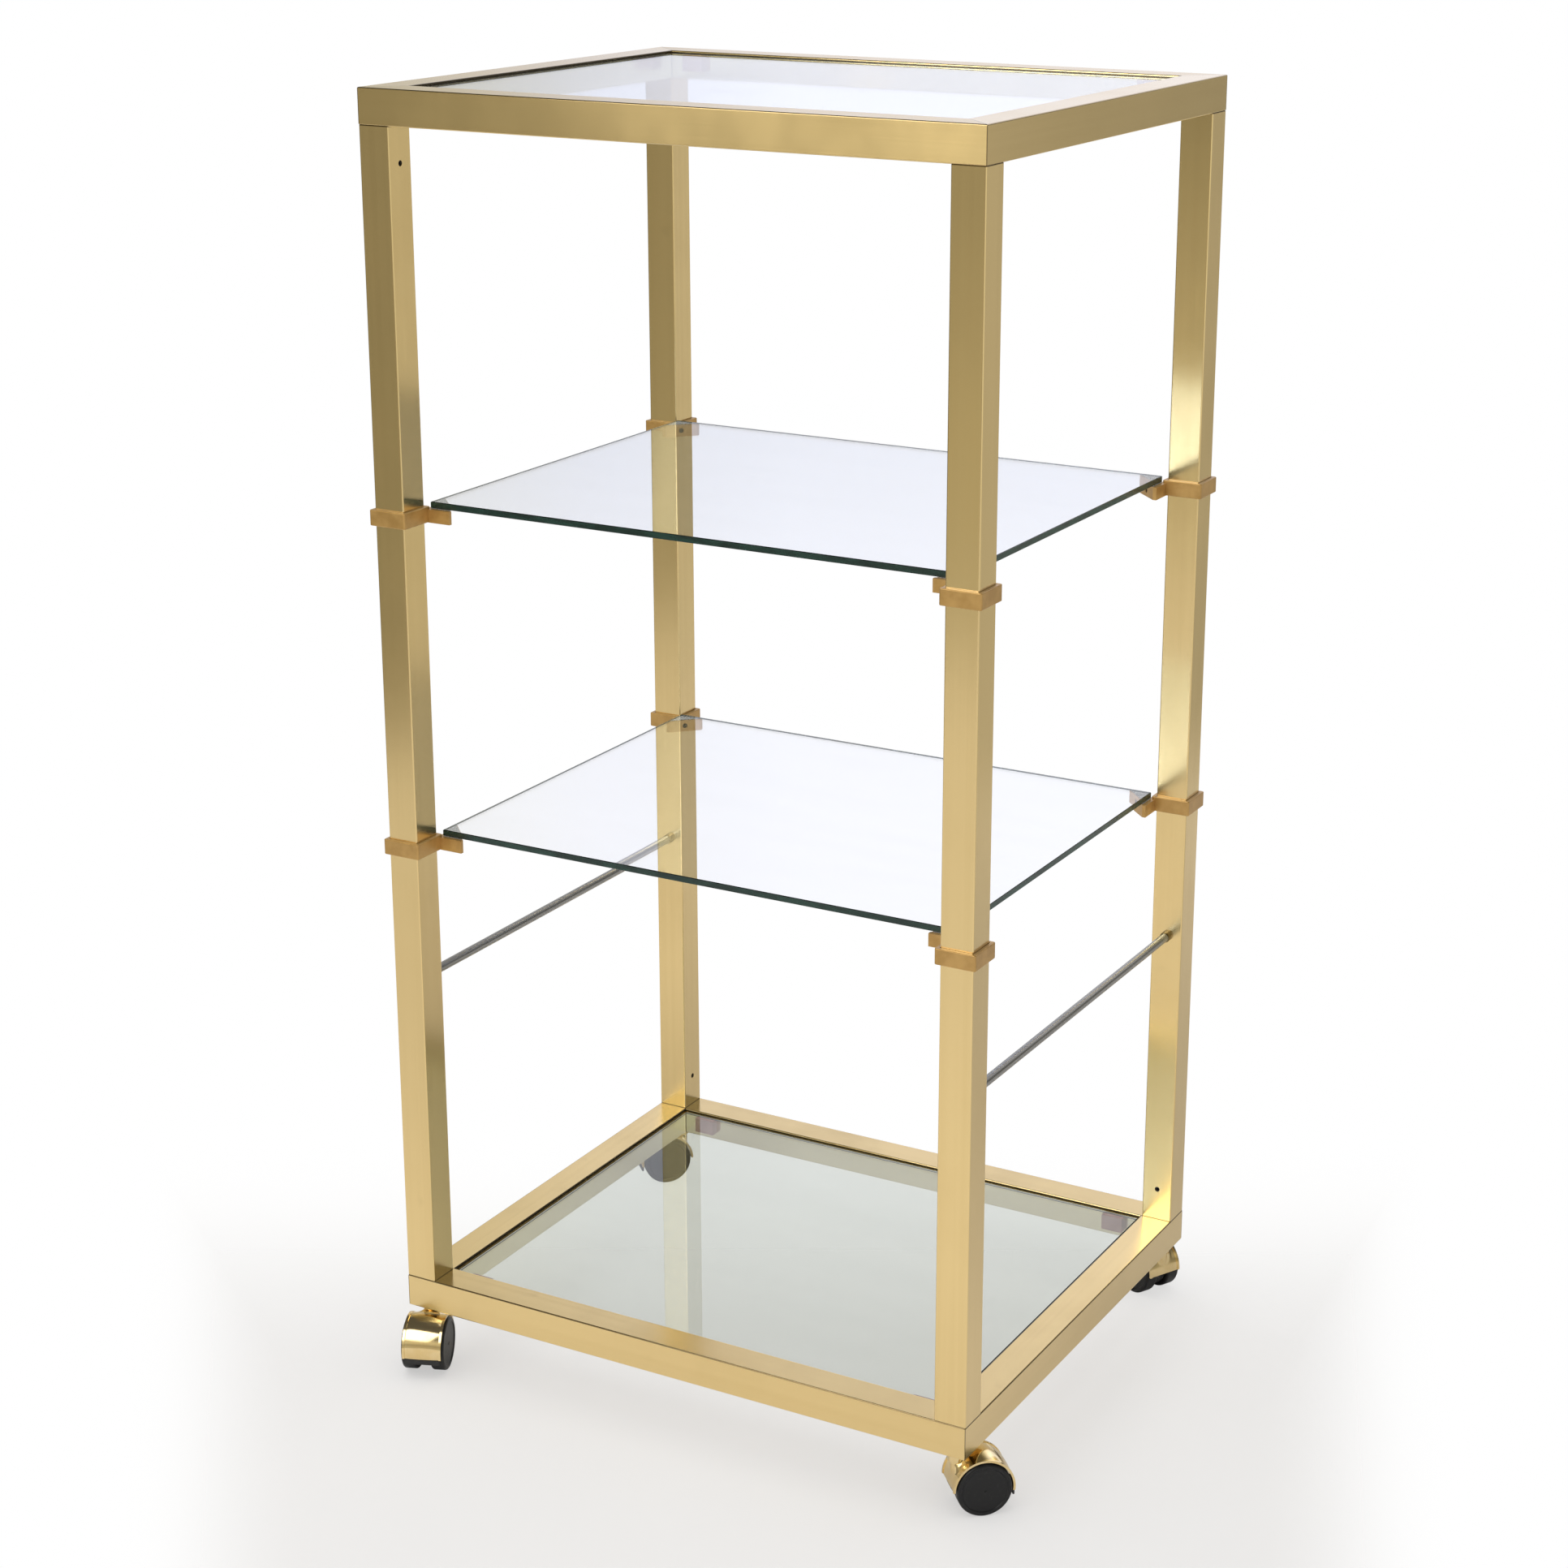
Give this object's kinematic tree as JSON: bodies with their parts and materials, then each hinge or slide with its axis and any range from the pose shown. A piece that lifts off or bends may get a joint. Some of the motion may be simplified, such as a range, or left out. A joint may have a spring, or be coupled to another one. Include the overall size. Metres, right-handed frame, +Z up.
{
  "type": "etagere",
  "caption": "Rolling display etagere: a polished brass square-tube frame with glass panes, clamped glass shelves that slide on the posts, side rods and hooded casters.",
  "frame": {"origin": "on the floor, under the centre of the frame", "axes": "+Z up, -Y front, +X to the right seen from the front"},
  "size_m": [0.6654, 0.553, 1.2165],
  "materials": {
    "brass_tube": "polished",
    "brass_clamp": "satin",
    "brass_hood": "mirror polished",
    "clear_glass": "clear, ground edges",
    "clear_pad": "clear",
    "glass_rest": "matte",
    "steel_rod": "satin",
    "steel_screw": "satin",
    "inner_aluminium": "sawn",
    "black_plastic": "matte",
    "black_wheel": "semi-gloss"
  },
  "bodies": {
    "frame": {"base_rail_front": "brass_tube", "base_rail_right": "brass_tube", "base_rail_back": "brass_tube", "base_rail_left": "brass_tube", "base_corner_blocks": "inner_aluminium", "top_rail_front": "brass_tube", "top_rail_right": "brass_tube", "top_rail_back": "brass_tube", "top_rail_left": "brass_tube", "top_corner_blocks": "inner_aluminium", "post_front_left": "brass_tube", "post_front_right": "brass_tube", "post_back_right": "brass_tube", "post_back_left": "brass_tube", "post_base_plugs": "inner_aluminium", "post_top_plugs": "inner_aluminium", "post_set_screws": "steel_screw", "base_glass": "clear_glass", "base_glass_tabs": "glass_rest", "top_glass": "clear_glass", "top_glass_tabs": "glass_rest", "left_rod": "steel_rod", "right_rod": "steel_rod", "rod_ferrules": "steel_rod", "caster_stems": "steel_screw"},
    "lower_shelf": {"lower_shelf_glass": "clear_glass", "lower_clamp_front_left": "brass_clamp", "lower_clamp_front_right": "brass_clamp", "lower_clamp_back_right": "brass_clamp", "lower_clamp_back_left": "brass_clamp", "lower_clamp_screws": "steel_screw", "lower_shelf_pads": "clear_pad"},
    "upper_shelf": {"upper_shelf_glass": "clear_glass", "upper_clamp_front_left": "brass_clamp", "upper_clamp_front_right": "brass_clamp", "upper_clamp_back_right": "brass_clamp", "upper_clamp_back_left": "brass_clamp", "upper_clamp_screws": "steel_screw", "upper_shelf_pads": "clear_pad"},
    "caster_front_left": {"caster_front_left_hood": "brass_hood", "caster_front_left_chassis": "black_plastic", "caster_front_left_axle": "steel_screw"},
    "caster_front_left_wheel_left": {"caster_front_left_wheel_left": "black_wheel"},
    "caster_front_left_wheel_right": {"caster_front_left_wheel_right": "black_wheel"},
    "caster_front_right": {"caster_front_right_hood": "brass_hood", "caster_front_right_chassis": "black_plastic", "caster_front_right_axle": "steel_screw"},
    "caster_front_right_wheel_left": {"caster_front_right_wheel_left": "black_wheel"},
    "caster_front_right_wheel_right": {"caster_front_right_wheel_right": "black_wheel"},
    "caster_back_right": {"caster_back_right_hood": "brass_hood", "caster_back_right_chassis": "black_plastic", "caster_back_right_axle": "steel_screw"},
    "caster_back_right_wheel_left": {"caster_back_right_wheel_left": "black_wheel"},
    "caster_back_right_wheel_right": {"caster_back_right_wheel_right": "black_wheel"},
    "caster_back_left": {"caster_back_left_hood": "brass_hood", "caster_back_left_chassis": "black_plastic", "caster_back_left_axle": "steel_screw"},
    "caster_back_left_wheel_left": {"caster_back_left_wheel_left": "black_wheel"},
    "caster_back_left_wheel_right": {"caster_back_left_wheel_right": "black_wheel"}
  },
  "joints": [
    {"name": "lower_shelf_slide", "type": "slide", "parent": "frame", "child": "lower_shelf", "axis": [0, 0, 1], "range_m": [-0.11, 0.12]},
    {"name": "upper_shelf_slide", "type": "slide", "parent": "frame", "child": "upper_shelf", "axis": [0, 0, 1], "range_m": [-0.12, 0.24]},
    {"name": "caster_front_left_swivel", "type": "hinge", "parent": "frame", "child": "caster_front_left", "pos_m": [-0.2845, -0.2305, 0.0585], "axis": [0, 0, 1], "continuous": true},
    {"name": "caster_front_left_wheel_left_spin", "type": "hinge", "parent": "caster_front_left", "child": "caster_front_left_wheel_left", "pos_m": [-0.27682, -0.24951, 0.0255], "axis": [0.9272, 0.3746, 0], "continuous": true},
    {"name": "caster_front_left_wheel_right_spin", "type": "hinge", "parent": "caster_front_left", "child": "caster_front_left_wheel_right", "pos_m": [-0.27682, -0.24951, 0.0255], "axis": [0.9272, 0.3746, 0], "continuous": true},
    {"name": "caster_front_right_swivel", "type": "hinge", "parent": "frame", "child": "caster_front_right", "pos_m": [0.2845, -0.2305, 0.0585], "axis": [0, 0, 1], "continuous": true},
    {"name": "caster_front_right_wheel_left_spin", "type": "hinge", "parent": "caster_front_right", "child": "caster_front_right_wheel_left", "pos_m": [0.29949, -0.21652, 0.0255], "axis": [-0.682, 0.7314, 0], "continuous": true},
    {"name": "caster_front_right_wheel_right_spin", "type": "hinge", "parent": "caster_front_right", "child": "caster_front_right_wheel_right", "pos_m": [0.29949, -0.21652, 0.0255], "axis": [-0.682, 0.7314, 0], "continuous": true},
    {"name": "caster_back_right_swivel", "type": "hinge", "parent": "frame", "child": "caster_back_right", "pos_m": [0.2845, 0.2305, 0.0585], "axis": [0, 0, 1], "continuous": true},
    {"name": "caster_back_right_wheel_left_spin", "type": "hinge", "parent": "caster_back_right", "child": "caster_back_right_wheel_left", "pos_m": [0.26623, 0.23981, 0.0255], "axis": [-0.454, -0.891, 0], "continuous": true},
    {"name": "caster_back_right_wheel_right_spin", "type": "hinge", "parent": "caster_back_right", "child": "caster_back_right_wheel_right", "pos_m": [0.26623, 0.23981, 0.0255], "axis": [-0.454, -0.891, 0], "continuous": true},
    {"name": "caster_back_left_swivel", "type": "hinge", "parent": "frame", "child": "caster_back_left", "pos_m": [-0.2845, 0.2305, 0.0585], "axis": [0, 0, 1], "continuous": true},
    {"name": "caster_back_left_wheel_left_spin", "type": "hinge", "parent": "caster_back_left", "child": "caster_back_left_wheel_left", "pos_m": [-0.29848, 0.21551, 0.0255], "axis": [0.7314, -0.682, 0], "continuous": true},
    {"name": "caster_back_left_wheel_right_spin", "type": "hinge", "parent": "caster_back_left", "child": "caster_back_left_wheel_right", "pos_m": [-0.29848, 0.21551, 0.0255], "axis": [0.7314, -0.682, 0], "continuous": true}
  ]
}
